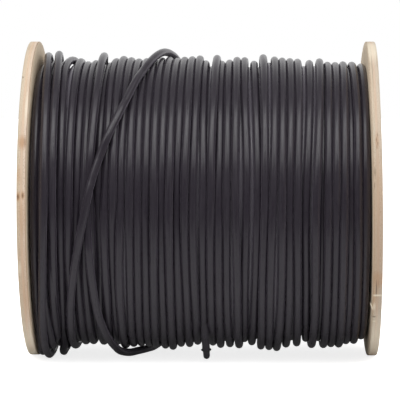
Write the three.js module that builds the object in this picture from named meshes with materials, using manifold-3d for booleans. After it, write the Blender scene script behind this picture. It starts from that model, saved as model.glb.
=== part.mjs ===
import * as THREE from 'three';
import { mergeVertices } from 'three/addons/utils/BufferGeometryUtils.js';
import Module from 'manifold-3d';

const wasm = await Module();
wasm.setup();

// A plywood cable drum, wound full with a round black cable and lying on the rims of its two flanges.
// Millimetres, +Z up. The drum's axis runs along X, and the origin is on the floor under its middle.

// Flanges: plywood discs with a bored arbor hole
const flangeDiameter = 280;
const flangeThickness = 8;
const flangeEdgeEase = 0.8;
const arborDiameter = 32;
const flangeFacets = 72;

// Barrel: a fibreboard tube let into a groove in each flange
const traverse = 290;
const barrelDiameter = 70;
const barrelWall = 5;
const barrelSeatDepth = 3;
const seatClearance = 0.4;
const barrelFacets = 40;

// Start hole, where the inner end of a cable is brought out beside the barrel
const startHoleDiameter = 10;
const startHoleClearance = 3;

// Tie bolts: round-headed, inside the barrel, with a washer and nut on the left flange
const boltCount = 4;
const boltDiameter = 6;
const boltToBarrelGap = 2;
const boltHoleClearance = 0.5;
const boltHeadDiameter = 15;
const boltHeadHeight = 3.2;
const boltHeadEdge = 0.8;
const boltTipLength = 2;
const boltTipChamfer = 0.9;
const washerDiameter = 13;
const washerThickness = 1.2;
const nutAcrossFlats = 10;
const nutHeight = 5;
const threadClearance = 0.3;
const contactGap = 0.3;
const fastenerFacets = 12;
const domeSteps = 2;
const holeFacets = 12;

// Cable: one length of round coax, laid turn beside turn up to the crowns of its top layer
const cableDiameter = 6.8;
const windingDiameter = 255;
const windingEndGap = 0.5;
const windingBoreClearance = 0.3;
const turnCount = 41;
const windingFacets = 32;

// The slack of the top layers: they hang low, wander sideways and ride up on each other
const windingSag = 3.3;
const sidewaysWander = 0.8;
const sidewaysRates = [2.4, 5.3];
const radialWander = 0.7;
const radialRates = [3.7];
const proudTurns = [
  { x: -137, rise: 4.6 },
  { x: -127, rise: 5.4 },
  { x: -87, rise: 4.4 },
];
const proudWidth = 2;
const proudAngle = 95;
const proudSpread = 62;
const slackTurn = { x: -133.5, width: 7, angle: 250, spread: 19, rise: 11 };

// Loose stretches of the same cable: [along the axis, angle from the back over the top, lift off crowns]
const bedding = 0.5;
const strandStep = 15;
const strandSides = 8;
const crossingTurn = [
  [12, 2, -9], [8, 16, -5], [2, 32, -1], [-6, 48, 0.6], [-15, 63, 2.2], [-25, 77, 3.2], [-35, 92, 3.2],
  [-45.5, 109, 1.4], [-56.5, 126, 0.2], [-67, 141, 0], [-76, 151, 0], [-84, 160, 0], [-91, 170, 0],
  [-96.5, 181, 0], [-101.5, 192, 0], [-106, 203, 0], [-109.8, 215, 0], [-112, 229, 0.3], [-113.2, 246, 0.6],
  [-113.5, 262, 0.6], [-113, 279, 0], [-111, 295, -1.5], [-108, 310, -5], [-105, 322, -9],
];
const slackBight = [
  [-95.5, 176, -9], [-94.6, 187, -3.5], [-93.3, 198, -0.3], [-91.5, 209, 0], [-88.3, 222, 0.2],
  [-83, 236, 0.9], [-76, 250, 1.8], [-68, 261, 2.2], [-59, 272, 1.5], [-50, 285, 1], [-41, 299, 0],
  [-33, 314, -4], [-27, 327, -9],
];
const cableEnd = [
  [5.4, 186, -9], [5.2, 198, -2.4], [5, 210, 0], [4.7, 224, 0.8], [4.4, 237, 3], [4.2, 243.3, 7.4],
  [4.2, 246.6, 12.8],
];

// Worked out from the sizes above
const flangeRadius = flangeDiameter / 2;
const barrelRadius = barrelDiameter / 2;
const barrelBoreRadius = barrelRadius - barrelWall;
const arborRadius = arborDiameter / 2;
const cableRadius = cableDiameter / 2;
const crownRadius = windingDiameter / 2;
const windingHalf = traverse / 2 - windingEndGap;
const pitch = 2 * windingHalf / turnCount;
const outerFace = traverse / 2 + flangeThickness;
const washerSeat = outerFace + contactGap;
const nutSeat = washerSeat + washerThickness + contactGap;
const boltRadius = boltDiameter / 2;
const boltCircleRadius = barrelBoreRadius - boltToBarrelGap - boltRadius;
const boltTip = nutSeat + nutHeight + boltTipLength;
const boltHeadTop = outerFace + contactGap + boltHeadHeight;
const axisHeight = flangeRadius * Math.cos(Math.PI / flangeFacets);
const weldDistance = 0.001;

const plywood = () => new THREE.MeshStandardMaterial({ color: 0xd6bf9c, roughness: 0.78, metalness: 0 });
const fibreboard = () => new THREE.MeshStandardMaterial({ color: 0xa08a6c, roughness: 0.9, metalness: 0 });
const jacket = () => new THREE.MeshStandardMaterial({ color: 0x2b282b, roughness: 0.42, metalness: 0 });
const zincPlate = () => new THREE.MeshStandardMaterial({ color: 0xb4b8bc, roughness: 0.35, metalness: 0.9 });

// Turns a three.js geometry into a solid: shared corners are welded and collapsed faces dropped.
function solidOf(geometry) {
  const bare = new THREE.BufferGeometry();
  bare.setAttribute('position', geometry.getAttribute('position'));
  bare.setIndex(geometry.getIndex());
  const welded = mergeVertices(bare, weldDistance);
  const corners = welded.getIndex().array;
  const faces = [];
  for (let i = 0; i < corners.length; i += 3) {
    const [a, b, c] = corners.slice(i, i + 3);
    if (a !== b && b !== c && c !== a) faces.push(a, b, c);
  }
  const vertProperties = new Float32Array(welded.getAttribute('position').array);
  return new wasm.Manifold(new wasm.Mesh({ numProp: 3, vertProperties, triVerts: new Uint32Array(faces) }));
}

function geometryOf(solid) {
  const { vertProperties, triVerts } = solid.getMesh();
  const geometry = new THREE.BufferGeometry();
  geometry.setAttribute('position', new THREE.BufferAttribute(vertProperties, 3));
  geometry.setIndex(new THREE.BufferAttribute(triVerts, 1));
  return geometry;
}

// A lathe turns about its own Y. This lays that axis along X, with its angle counted from +Y over the top.
const layAlongX = new THREE.Matrix4().set(0, 1, 0, 0, 0, 0, 1, 0, 1, 0, 0, 0, 0, 0, 0, 1);

// A body turned about X from [radius, x] points, which run along its outside towards +X.
function turned(profile, facets, startAngle = 0) {
  const points = profile.map(([radius, x]) => new THREE.Vector2(radius, x));
  return new THREE.LatheGeometry(points, facets, startAngle).applyMatrix4(layAlongX);
}

// The same with a bore, so that its profile closes on itself.
function turnedRing(profile, facets, startAngle) {
  return turned([...profile, profile[0]], facets, startAngle);
}

// A plain cutter along X for the holes that pass through a flange.
function holeCutter(radius, y, z) {
  const length = 4 * flangeThickness;
  const cutter = new THREE.CylinderGeometry(radius, radius, length, holeFacets);
  return solidOf(cutter.applyMatrix4(layAlongX).translate(0, y, z));
}

// The tie bolts stand on a circle inside the barrel.
function boltPlaces() {
  const places = [];
  for (let i = 0; i < boltCount; i++) {
    const angle = 2 * Math.PI * (i + 0.5) / boltCount;
    places.push([boltCircleRadius * Math.cos(angle), boltCircleRadius * Math.sin(angle)]);
  }
  return places;
}

// A flange's disc from its outer face at x = 0 to its inner face, with the groove for the barrel.
function flangeDisc() {
  const ease = flangeEdgeEase;
  const seatFloor = flangeThickness - barrelSeatDepth;
  const seatOuter = barrelRadius + seatClearance;
  const seatInner = barrelBoreRadius - seatClearance;
  const profile = [
    [arborRadius, 0],
    [flangeRadius - ease, 0],
    [flangeRadius, ease],
    [flangeRadius, flangeThickness - ease],
    [flangeRadius - ease, flangeThickness],
    [seatOuter, flangeThickness],
    [seatOuter, seatFloor],
    [seatInner, seatFloor],
    [seatInner, flangeThickness],
    [arborRadius, flangeThickness],
  ];
  // The drum lies on the flat between two of its rim's corners.
  const startAngle = 1.5 * Math.PI - Math.PI / flangeFacets;
  return solidOf(turnedRing(profile, flangeFacets, startAngle));
}

function flange(withStartHole) {
  let disc = flangeDisc();
  for (const [y, z] of boltPlaces()) {
    disc = disc.subtract(holeCutter(boltRadius + boltHoleClearance, y, z));
  }
  if (withStartHole) {
    const holeRadius = startHoleDiameter / 2;
    const holeHeight = barrelRadius + startHoleClearance + holeRadius;
    disc = disc.subtract(holeCutter(holeRadius, 0, holeHeight));
  }
  return geometryOf(disc);
}

function barrel() {
  const half = traverse / 2 + barrelSeatDepth - seatClearance;
  const profile = [
    [barrelBoreRadius, -half],
    [barrelRadius, -half],
    [barrelRadius, half],
    [barrelBoreRadius, half],
  ];
  return turnedRing(profile, barrelFacets);
}

// The bolt's head is a low dome on the right flange, and its plain shank ends past the nut on the left.
function tieBolt() {
  const head = boltHeadDiameter / 2;
  const underHead = boltHeadTop - boltHeadHeight;
  const domeRise = boltHeadHeight - boltHeadEdge;
  const profile = [
    [0, -boltTip],
    [boltRadius - boltTipChamfer, -boltTip],
    [boltRadius, -boltTip + boltTipChamfer],
    [boltRadius, underHead],
    [head, underHead],
  ];
  // The dome is a quarter of an ellipse over the head's short upright edge.
  for (let i = 0; i < domeSteps; i++) {
    const angle = Math.PI / 2 * i / domeSteps;
    profile.push([head * Math.cos(angle), boltHeadTop - domeRise * (1 - Math.sin(angle))]);
  }
  profile.push([0, boltHeadTop]);
  return turned(profile, fastenerFacets);
}

function washer() {
  const bore = boltRadius + threadClearance;
  const rim = washerDiameter / 2;
  const profile = [
    [bore, -washerSeat - washerThickness],
    [rim, -washerSeat - washerThickness],
    [rim, -washerSeat],
    [bore, -washerSeat],
  ];
  return turnedRing(profile, fastenerFacets);
}

function nut() {
  const corner = nutAcrossFlats / Math.sqrt(3);
  const outline = new THREE.Shape();
  for (let i = 0; i < 6; i++) {
    const angle = i * Math.PI / 3;
    outline[i ? 'lineTo' : 'moveTo'](corner * Math.cos(angle), corner * Math.sin(angle));
  }
  outline.closePath();
  const bore = boltRadius + threadClearance;
  outline.holes.push(new THREE.Path().absarc(0, 0, bore, 0, 2 * Math.PI, true));
  const block = { depth: nutHeight, bevelEnabled: false, curveSegments: fastenerFacets / 2 };
  return new THREE.ExtrudeGeometry(outline, block).rotateY(-Math.PI / 2).translate(-nutSeat, 0, 0);
}

// A smooth bump of height 1, about one spread wide each side of its middle.
const bump = (offset, spread) => Math.exp(-((offset / spread) ** 2));

// The mean of one sine for each rate: a wander between -1 and 1 that no two turns repeat.
function wave(laid, rates) {
  const sines = rates.map((rate) => Math.sin(rate * (laid + 1)));
  return sines.reduce((sum, sine) => sum + sine) / rates.length;
}

// Where the crown of the winding stands at a place along the axis and an angle round it.
function crownAt(x, degrees) {
  let radius = crownRadius - windingSag * Math.sin(THREE.MathUtils.degToRad(degrees));
  for (const turn of proudTurns) {
    radius += turn.rise * bump(x - turn.x, proudWidth) * bump(degrees - proudAngle, proudSpread);
  }
  const { x: slackX, width, angle, spread, rise } = slackTurn;
  return radius + rise * bump(x - slackX, width) * bump(degrees - angle, spread);
}

// The winding starts as a turned body with three rows of points to each turn: the valley between two
// turns and the two shoulders of a crown. Each row then moves one pitch to the left on its way round, so
// that the turns are one continuous helix, and the rows that leave the traverse close its flat ends.
function winding() {
  const rowOffsets = [0, 0.25, 0.75];
  const rowsPerTurn = rowOffsets.length;
  const rowCount = (turnCount + 1) * rowsPerTurn + 1;
  const bore = barrelRadius + windingBoreClearance;
  const rows = Array.from({ length: rowCount }, () => [crownRadius, 0]);
  const lathe = turnedRing([[bore, -windingHalf], ...rows, [bore, windingHalf]], windingFacets);
  const position = lathe.getAttribute('position');
  const pointsPerColumn = rowCount + 3;

  const shoulderDrop = cableRadius * (1 - Math.cos(Math.PI / 6));
  for (let column = 0; column <= windingFacets; column++) {
    const around = column / windingFacets;
    const degrees = 360 * (column % windingFacets) / windingFacets;
    const angle = THREE.MathUtils.degToRad(degrees);
    for (let row = 0; row < rowCount; row++) {
      const part = row % rowsPerTurn;
      const laid = (row - part) / rowsPerTurn - around;
      const turns = THREE.MathUtils.clamp(laid + rowOffsets[part], 0, turnCount);
      const atEnd = turns === 0 || turns === turnCount;
      const endTaper = Math.min(1, turns, turnCount - turns);
      const sideways = endTaper * sidewaysWander * wave(laid, sidewaysRates);
      const x = -windingHalf + pitch * turns + sideways;
      const outward = endTaper * radialWander * wave(laid, radialRates);
      const drop = atEnd || part === 0 ? cableRadius : shoulderDrop;
      const radius = crownAt(x, degrees) + outward - drop;
      const point = column * pointsPerColumn + row + 1;
      position.setXYZ(point, x, radius * Math.cos(angle), radius * Math.sin(angle));
    }
  }
  return solidOf(lathe);
}

// A stretch of cable that lies over the crowns, on a smooth curve through its route's points.
function strand(route) {
  const points = route.map(([x, degrees, lift]) => {
    const angle = THREE.MathUtils.degToRad(degrees);
    const sag = windingSag * Math.sin(angle);
    const radius = crownRadius - sag + cableRadius - bedding + lift;
    return new THREE.Vector3(x, radius * Math.cos(angle), radius * Math.sin(angle));
  });
  const path = new THREE.CatmullRomCurve3(points);
  const section = new THREE.Shape().absarc(0, 0, cableRadius, 0, 2 * Math.PI);
  const steps = Math.ceil(path.getLength() / strandStep);
  const sweep = { steps, curveSegments: strandSides / 2, bevelEnabled: false, extrudePath: path };
  return solidOf(new THREE.ExtrudeGeometry(section, sweep));
}

// The cable is one length, so its loose stretches are joined to the winding that they come out of.
function cable() {
  let solid = winding();
  for (const route of [crossingTurn, slackBight, cableEnd]) {
    solid = solid.add(strand(route));
  }
  return geometryOf(solid);
}

const drum = new THREE.Group();

function place(name, geometry, material, [x, y, z] = [0, 0, 0]) {
  const mesh = new THREE.Mesh(geometry, material);
  mesh.name = name;
  mesh.position.set(x, y, z);
  drum.add(mesh);
  return mesh;
}

place('flange_left', flange(true), plywood(), [-outerFace, 0, 0]);
const flangeRight = place('flange_right', flange(false), plywood(), [outerFace, 0, 0]);
flangeRight.rotation.z = Math.PI;
place('barrel', barrel(), fibreboard());
place('cable', cable(), jacket());
boltPlaces().forEach(([y, z], i) => {
  place(`tie_bolt_${i + 1}`, tieBolt(), zincPlate(), [0, y, z]);
  place(`washer_${i + 1}`, washer(), zincPlate(), [0, y, z]);
  place(`nut_${i + 1}`, nut(), zincPlate(), [0, y, z]);
});

// The whole length from the bolts' tips to their heads is centred over the origin.
drum.position.set((boltTip - boltHeadTop) / 2, 0, axisHeight);

export default drum;
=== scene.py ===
import bmesh
import bpy
import numpy as np
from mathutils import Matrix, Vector


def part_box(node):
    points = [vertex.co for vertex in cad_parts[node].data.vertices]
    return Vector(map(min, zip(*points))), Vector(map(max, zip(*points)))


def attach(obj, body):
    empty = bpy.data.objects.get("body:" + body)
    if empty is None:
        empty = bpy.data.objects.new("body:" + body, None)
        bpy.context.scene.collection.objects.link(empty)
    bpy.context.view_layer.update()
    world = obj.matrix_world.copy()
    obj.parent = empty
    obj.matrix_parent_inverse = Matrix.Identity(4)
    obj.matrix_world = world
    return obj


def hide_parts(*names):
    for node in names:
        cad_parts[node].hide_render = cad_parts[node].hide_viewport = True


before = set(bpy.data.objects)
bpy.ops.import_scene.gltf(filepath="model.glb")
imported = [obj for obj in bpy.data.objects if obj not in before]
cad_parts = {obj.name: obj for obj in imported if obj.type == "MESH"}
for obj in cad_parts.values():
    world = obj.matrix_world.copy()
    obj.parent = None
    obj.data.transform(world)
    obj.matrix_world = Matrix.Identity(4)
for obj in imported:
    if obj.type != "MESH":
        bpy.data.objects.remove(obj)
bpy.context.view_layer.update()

# Barrel --------------------------------------------------------------------------------------------
# The core that the cable is wound on: a tube of brown fibreboard, wound in a spiral from glued strips,
# cut square and let into a ring groove in each flange. Only its bore shows, through the arbor holes.

# Named sizes are in millimetres, and MM turns them into metres. Lamps, floor and bumps are in metres.
MM = 0.001
TURN = 2 * np.pi
STRIP_PITCH = 92
STRIP_SEAM = 0.9
PAPER_FIBRE = (5.556, 1.111, 1.111)
axle = sum(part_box("barrel"), Vector()) / 2


def linear(colour):
    """A colour written as sRGB hex, as the linear red, green, blue and alpha that Blender works in."""
    srgb = np.array([int(colour[i:i + 2], 16) for i in (1, 3, 5)]) / 255
    curve = np.where(srgb <= 0.04045, srgb / 12.92, ((srgb + 0.055) / 1.055) ** 2.4)
    return (*curve, 1)


def material(name):
    """An empty node material, and its tree."""
    made = bpy.data.materials.new(name)
    made.use_nodes = True
    made.node_tree.nodes.clear()
    return made, made.node_tree


def spaced(sizes):
    """The scale at which a pattern on Object coordinates, in metres, has these sizes in millimetres."""
    return tuple(1 / (MM * size) for size in sizes)


def add(tree, kind, inputs=(), **settings):
    """Adds a node with its settings, and returns its outputs.

    Its inputs are other nodes' outputs, colours in sRGB hex or plain values.
    """
    node = tree.nodes.new("ShaderNode" + kind)
    for name, value in settings.items():
        setattr(node, name, value)
    for socket, value in dict(inputs).items():
        if isinstance(value, bpy.types.NodeSocket):
            tree.links.new(value, node.inputs[socket])
        else:
            node.inputs[socket].default_value = linear(value) if isinstance(value, str) else value
    return node.outputs


# Spirally wound fibreboard: matt brown paper with short fibres, and a thin dark line at each strip's edge.
# The fibres are drawn many times as coarse as real ones, so that they show at all.
fibreboard, tree = material("spiral-wound fibreboard")
position = add(tree, "TexCoord")["Object"]
about_axle = add(tree, "Mapping", {"Vector": position, "Location": tuple(-axle)})["Vector"]
off_axle = add(tree, "SeparateXYZ", {0: about_axle})
swing = add(tree, "Math", {0: off_axle["Z"], 1: off_axle["Y"]}, operation="ARCTAN2")["Value"]
share_of_turn = add(tree, "Math", {0: swing, 1: TURN}, operation="DIVIDE")["Value"]
strips = add(tree, "Math", {0: off_axle["X"], 1: STRIP_PITCH * MM}, operation="DIVIDE")["Value"]
spiral = add(tree, "Math", {0: strips, 1: share_of_turn}, operation="SUBTRACT")["Value"]
across_strip = add(tree, "Math", {0: spiral}, operation="FRACT")["Value"]
seam = add(tree, "Math", {0: across_strip, 1: STRIP_SEAM / STRIP_PITCH}, operation="LESS_THAN")["Value"]
fibre_at = add(tree, "Mapping", {"Vector": position, "Scale": spaced(PAPER_FIBRE)})["Vector"]
paper = add(tree, "TexNoise", {"Vector": fibre_at, "Scale": 1, "Detail": 3})["Fac"]
brown = add(tree, "Mix", {0: paper, 6: "#8F7656", 7: "#B39A78"}, data_type="RGBA")[2]
seamed = add(tree, "Mix", {0: seam, 6: brown, 7: "#5B4830"}, data_type="RGBA")[2]
felted = add(tree, "Bump", {"Strength": 0.4, "Distance": 0.0002, "Height": paper})["Normal"]
paper_skin = add(tree, "BsdfPrincipled", {"Base Color": seamed, "Roughness": 0.85, "IOR": 1.5,
                                          "Normal": felted})
add(tree, "OutputMaterial", {"Surface": paper_skin["BSDF"]})
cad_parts["barrel"].material_slots[0].material = fibreboard

# Flanges -------------------------------------------------------------------------------------------
# Two round boards sawn from 8 mm plywood: five plies, their grain crossed in turn, two thin face veneers
# outside. The rims are sawn and only lightly sanded, so the plies show as bands with a fine glue line
# between them. The right board leans a little out of square and bows out at its top, as thin boards do.

left_low, left_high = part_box("flange_left")
right_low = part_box("flange_right")[0]
DRUM_MIDDLE = np.array([(left_high.x + right_low.x) / 2, 0, (left_low.z + left_high.z) / 2])
TRAVERSE = (right_low.x - left_high.x) / MM
FLANGE_THICKNESS = (left_high.x - left_low.x) / MM
FLANGE_RADIUS = (left_high.z - left_low.z) / 2 / MM
OUTER_FACE = TRAVERSE / 2 + FLANGE_THICKNESS
ARBOR_RADIUS = 16
BARREL_RADIUS = 35
BARREL_WALL = 5
SEAT_DEPTH = 3
SEAT_CLEARANCE = 0.4
EDGE_EASE = 0.8
BORE_EASE = 0.4
PLIES = [0.7, 2.2, 2.2, 2.2, 0.7]
PLY_EDGES = np.cumsum(PLIES)[:-1]
GLUE_DEPTH = 0.12
GLUE_WIDTH = 0.15
LEAN = -0.0115
BOW = 1.2
BOW_START = 80
BOW_SPAN = 60
SAW_ROUGHNESS = 0.14
SAW_SINES = 12
SAW_WAVES = (40, 320)
SAW_DRIFT = 0.9
ROUGH_INSET = 3
ROUGH_FADE = 2
FLANGE_COLUMNS = 600
DRILL_COLUMNS = 24
RIM_ROW = 0.22
CORNER_ROWS = 4
FACE_ROWS = 14
INSIDE_ROWS = 4
BOARD_CREASE = 38
FACE_TILT = 0.75
WELD = 0.001
rng = np.random.default_rng(seed=41)


def placed(name, data):
    """A new object that holds this mesh, camera or lamp, linked to the scene."""
    made = bpy.data.objects.new(name, data)
    bpy.context.scene.collection.objects.link(made)
    return made


def on_map(sizes):
    """The scale at which a pattern has these sizes in millimetres, on a UV map in millimetres."""
    return 1 / sizes[0], 1 / sizes[1], 1


def skin(name, grid, places=None):
    """A closed mesh over a grid of points [row, column, xyz], in millimetres about the drum's middle.

    Its rows and columns are joined by four-sided faces, whose outside is the side from which the columns,
    then the rows, turn anticlockwise. Edges that meet are welded, and so are rows of no length. Places,
    where given, are those of the grid's points on the piece's own UV map, in millimetres.
    """
    rows, columns = grid.shape[:2]
    corner = np.arange(rows * columns).reshape(rows, columns)[:-1, :-1]
    faces = np.stack([corner, corner + 1, corner + 1 + columns, corner + columns], -1).reshape(-1, 4)
    mesh = bpy.data.meshes.new(name)
    mesh.vertices.add(rows * columns)
    mesh.vertices.foreach_set("co", (grid * MM + DRUM_MIDDLE).ravel())
    mesh.loops.add(faces.size)
    mesh.loops.foreach_set("vertex_index", faces.ravel())
    mesh.polygons.add(len(faces))
    mesh.polygons.foreach_set("loop_start", np.arange(0, faces.size, 4))
    mesh.update(calc_edges=True)
    if places is not None:
        surface_map = mesh.uv_layers.new(name="surface")
        surface_map.data.foreach_set("uv", places.reshape(-1, 2)[faces.ravel()].ravel())
    welded = bmesh.new()
    welded.from_mesh(mesh)
    bmesh.ops.remove_doubles(welded, verts=welded.verts, dist=WELD * MM)
    bmesh.ops.dissolve_degenerate(welded, edges=welded.edges, dist=WELD * MM / 10)
    welded.to_mesh(mesh)
    welded.free()
    mesh.shade_smooth()
    return placed(name, mesh)


def polar(place, angle, radius):
    """Points at places along the drum's axis, at angles in radians from +Y towards +Z, and at radii."""
    return np.stack([place, radius * np.cos(angle), radius * np.sin(angle)], -1)


def turned(depths, radii, columns, reverse=False):
    """A body turned about the drum's axis: each row is a circle, its radius at that place along X."""
    angle = np.linspace(0, TURN, columns + 1)[::-1 if reverse else 1]
    radii = np.broadcast_to(np.asarray(radii, float).reshape(len(depths), -1), (len(depths), columns + 1))
    along = np.broadcast_to(np.asarray(depths, float).reshape(len(depths), -1), radii.shape)
    return polar(along, angle, radii)


def carried(path, girth, sides):
    """A round profile carried along a path, and its map: length along the path and length round the profile.

    Each ring is centre + girth * (cos t * inward + sin t * across), square to the path, t from 0 to a turn.
    """
    ahead = np.gradient(path, axis=0)
    ahead /= np.linalg.norm(ahead, axis=1, keepdims=True)
    inward = np.cross([1, 0, 0], ahead)
    inward /= np.linalg.norm(inward, axis=1, keepdims=True)
    across = np.cross(ahead, inward)
    t = np.linspace(0, TURN, sides + 1)
    ring = np.cos(t)[:, None] * inward[:, None] + np.sin(t)[:, None] * across[:, None]
    length = np.concatenate([[0], np.cumsum(np.linalg.norm(np.diff(path, axis=0), axis=1))])
    run, around = np.broadcast_arrays(length[:, None], t * np.max(girth))
    return path[:, None] + np.reshape(girth, (-1, 1, 1)) * ring, np.stack([run, around], -1)


def read(items, attribute, parts, kind=float):
    """One attribute of all of a mesh's points, faces or corners, as a row of its parts for each."""
    values = np.empty(len(items) * parts, kind)
    items.foreach_get(attribute, values)
    return values.reshape(-1, parts)


def about_middle(points):
    """Points in metres as millimetres about the drum's middle."""
    return (points - DRUM_MIDDLE) / MM


def dress(piece, finish, slot, *nodes):
    """The piece gets its finish, rides on the drum's one body and stands for its CAD nodes."""
    piece.data.materials.append(finish)
    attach(piece, "root")
    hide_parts(*nodes)


def out_of_square(height):
    """How far the right board stands towards +X at a height: its lean, and a bow that grows as a square."""
    return LEAN * height + BOW * np.clip((height - BOW_START) / BOW_SPAN, 0, 1) ** 2


def flange_section():
    """Depth below the outer face and radius of each row, from the bore over the rim and back to the bore.

    Both rim corners are quarter circles, and each glue line is a shallow groove in the rim between them.
    """
    quarter = np.linspace(0, np.pi / 2, CORNER_ROWS)
    corner_depth = EDGE_EASE * (1 - np.cos(quarter))
    corner_radius = FLANGE_RADIUS - EDGE_EASE * (1 - np.sin(quarter))
    rim = np.arange(EDGE_EASE, FLANGE_THICKNESS - EDGE_EASE, RIM_ROW)[1:]
    groove = GLUE_DEPTH * np.exp(-((rim[:, None] - PLY_EDGES) / GLUE_WIDTH) ** 2).sum(1)
    outer = np.linspace(BARREL_RADIUS + SEAT_CLEARANCE, FLANGE_RADIUS - EDGE_EASE, FACE_ROWS)[:-1]
    inner = np.linspace(ARBOR_RADIUS + BORE_EASE, BARREL_RADIUS - BARREL_WALL - SEAT_CLEARANCE, INSIDE_ROWS)
    deep = FLANGE_THICKNESS
    depths = np.concatenate([
        0 * inner, 0 * outer, corner_depth, rim, (deep - corner_depth)[::-1], deep + 0 * outer,
        [deep - SEAT_DEPTH] * 2, deep + 0 * inner, [deep - BORE_EASE, BORE_EASE, 0]])
    radii = np.concatenate([
        inner, outer, corner_radius, FLANGE_RADIUS - groove, corner_radius[::-1], outer[::-1],
        [outer[0], inner[-1]], inner[::-1], [ARBOR_RADIUS] * 2, inner[:1]])
    return depths, radii


def sawn_waves(angle, depth):
    """How deep the saw cut: a sum of sines, a whole number of waves round the rim, shifted with the depth."""
    counts = rng.integers(*SAW_WAVES, SAW_SINES)
    shifts = rng.uniform(0, TURN, SAW_SINES)
    drift = rng.uniform(-SAW_DRIFT, SAW_DRIFT, SAW_SINES)
    total = sum(np.sin(n * angle + s + d * depth) for n, s, d in zip(counts, shifts, drift))
    return SAW_ROUGHNESS * (0.5 + total / (2 * SAW_SINES))


# Marks on each rim: angle in degrees, half length, depth below the outer face, half width and strength.
# Brown ones are knots and stains, and dark ones cracks and dirt, except the two broad dark ones, which only
# darken the front of each rim over most of its height. Pale ones are fresh or bleached wood, except the
# broad pale ones low on each rim, which are painted light where the rim faces the floor.
RIM_MARKS = {
    "left": {
        "brown": [
            (156.5, 5.6, 4.2, 3.4, 0.6), (168, 7, 1.6, 1.4, 0.35), (175.6, 3.6, 1.6, 1.6, 0.8),
            (175.2, 3.4, 5.4, 1.5, 0.7), (183, 18, 4.5, 3.4, 0.35), (212, 26, 5.5, 2.4, 0.3),
            (203, 44, 4, 9, 0.2), (20, 14, 5.6, 2, 0.4), (300, 20, 2.6, 2, 0.4),
        ],
        "dark": [
            (156.5, 5.0, 6.4, 0.9, 0.35), (175.6, 2.0, 1.4, 0.9, 0.75), (175.2, 1.8, 5.4, 0.8, 0.7),
            # The broad dark mark at 172 degrees darkens the rim's front over most of its height.
            (172, 75, 4, 12, 0.06), (128.5, 1.0, 1.1, 0.6, 0.8), (44, 9, 3.5, 0.5, 0.6),
            (338, 2, 5.6, 0.8, 0.8),
        ],
        "pale": [
            # The broad pale marks at 243 and 255 degrees are painted light on the low rim, where it faces the
            # floor.
            (201, 5, 1.5, 1.4, 0.4), (143, 14, 6.2, 1.2, 0.5), (243, 31, 4, 8, 0.52),
            (255, 16, 5.5, 5, 0.95), (65, 9, 2.2, 1.3, 0.4),
        ],
    },
    "right": {
        "brown": [
            (156, 6.5, 4.0, 1.7, 0.35), (188, 58, 4, 9, 0.27), (211, 20, 7, 1.8, 0.4),
            (205, 9, 4, 9, 0.5), (350, 18, 5.0, 2.4, 0.4),
        ],
        "dark": [
            # The broad dark mark at 190 degrees darkens the rim's front over most of its height.
            (118, 34, 5.4, 0.35, 0.45), (112, 24, 1.1, 0.3, 0.4), (190, 75, 4, 12, 0.13),
            (153.6, 1.6, 3.5, 0.5, 0.5), (155.4, 1.8, 4.4, 0.5, 0.6), (156.8, 1.5, 3.6, 0.5, 0.55),
            (158.2, 1.5, 4.3, 0.45, 0.5), (167, 4, 6.4, 0.6, 0.55), (171.5, 3, 6.9, 0.4, 0.55),
            (209, 8, 5.0, 0.6, 0.7), (207, 6, 3.2, 0.3, 0.4), (222, 0.5, 6.4, 1.6, 0.85),
            (223.6, 0.4, 6.6, 1.3, 0.85), (30, 7, 2.4, 0.4, 0.6), (318, 1.8, 3.0, 0.9, 0.8),
        ],
        "pale": [
            # The broad pale mark at 240 degrees is painted light on the low rim, where it faces the floor.
            (108, 22, 4, 6, 0.55), (240, 34, 4, 8, 0.48), (169.5, 0.45, 4, 4, 0.8),
            (211.8, 0.5, 4, 4, 0.85), (217, 4, 6.6, 1.2, 0.5), (224.6, 0.6, 6, 2, 0.8),
            (233, 0.5, 4, 4, 0.6), (62, 0.5, 4, 4, 0.6),
        ],
    },
}
# Chips bitten out of each rim: angle, depth below the outer face, half length, half width and bite
RIM_CHIPS = {
    "left": [
        (152, 7.7, 1.6, 0.5, 0.5), (137, 0.3, 2.4, 0.4, 0.35), (206, 7.8, 2.2, 0.5, 0.5),
        (238, 0.2, 3, 0.5, 0.5), (28, 7.7, 3, 0.5, 0.6), (310, 0.3, 2, 0.6, 0.6),
    ],
    "right": [
        (222, 7.4, 1.1, 0.8, 0.7), (216, 7.8, 1.6, 0.6, 0.6), (226, 7.6, 3, 0.5, 0.4),
        (133, 0.3, 1.5, 0.4, 0.4), (174, 0.2, 2, 0.3, 0.3), (50, 7.7, 2.6, 0.6, 0.6),
        (285, 0.4, 3, 0.5, 0.5),
    ],
}
# Each ply's colour at the rim, from the outer face inwards. The innermost ply's darker colour is painted
# shade along the rim's inner edge, beside the winding.
PLY_COLOURS = {
    "left": ["#CABEA8", "#D4C4AE", "#DCC3AB", "#DECBB8", "#AF9883"],
    "right": ["#C3B8A6", "#CCBEAD", "#CFBAA6", "#CCBEAA", "#B7A590"],
}


def around_and_depth(points):
    """Angle in degrees from the back over the top, and depth below the outer face, of each point."""
    return np.degrees(np.arctan2(points[:, 2], points[:, 1])) % 360, OUTER_FACE - np.abs(points[:, 0])


def drill(board, out, holes):
    """Bores a board through: each hole is its two places across the drum's axis and its radius."""
    through = out * OUTER_FACE + np.array([-1, -1, 1, 1]) * 2 * FLANGE_THICKNESS
    for y, z, radius in holes:
        cutter = skin("drill", turned(through, [0, radius, radius, 0], DRILL_COLUMNS) + [0, y, z])
        cut = board.modifiers.new("bored", "BOOLEAN")
        cut.object = cutter
        cut.solver = "EXACT"
        bored = bpy.data.meshes.new_from_object(board.evaluated_get(bpy.context.evaluated_depsgraph_get()))
        board.modifiers.clear()
        board.data = bored
        bpy.data.objects.remove(cutter)
    board.data.name = board.name


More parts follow.
